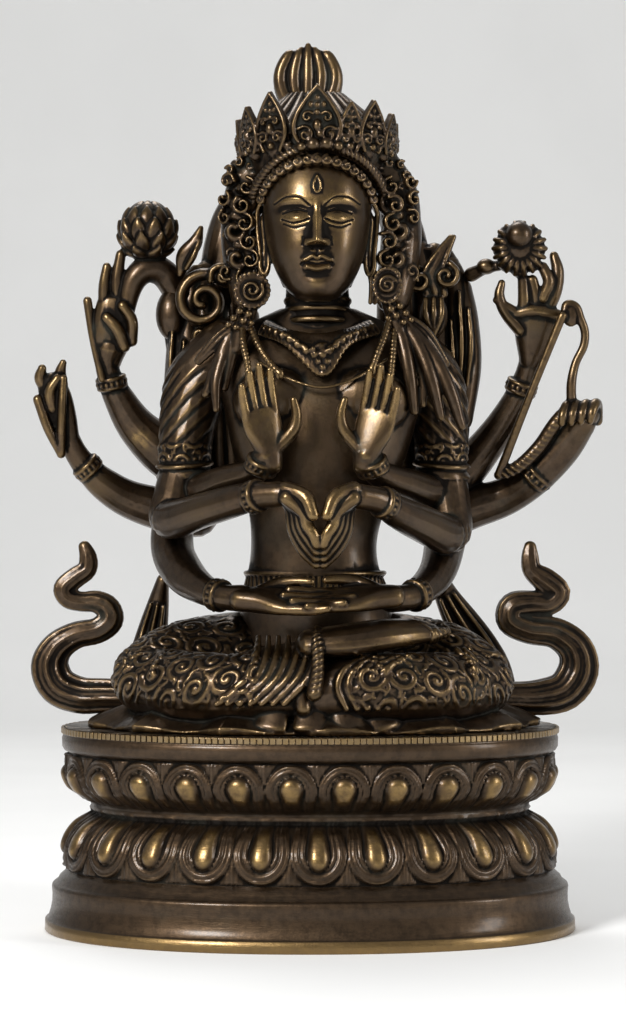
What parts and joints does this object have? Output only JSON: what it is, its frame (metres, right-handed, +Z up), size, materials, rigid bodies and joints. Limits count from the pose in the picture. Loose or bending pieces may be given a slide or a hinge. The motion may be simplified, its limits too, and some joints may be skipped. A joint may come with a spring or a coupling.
{
  "type": "bronze bodhisattva statue",
  "caption": "Cast bronze figure of a crowned many-armed bodhisattva, seated cross-legged on an oval double lotus base.",
  "frame": {"origin": "centre of the flat underside of the lotus base", "axes": "+Z up, the figure looks along -Y, +X at the viewer's right"},
  "size_m": [0.1974, 0.1324, 0.3044],
  "materials": {
    "figure_bronze": "dark brown patinated bronze, rubbed golden on the high points",
    "base_bronze": "dark brown patinated bronze, brushed bands and rubbed petal bosses"
  },
  "bodies": {
    "root": {"figure": "figure_bronze", "lotus_base": "base_bronze"}
  },
  "joints": []
}
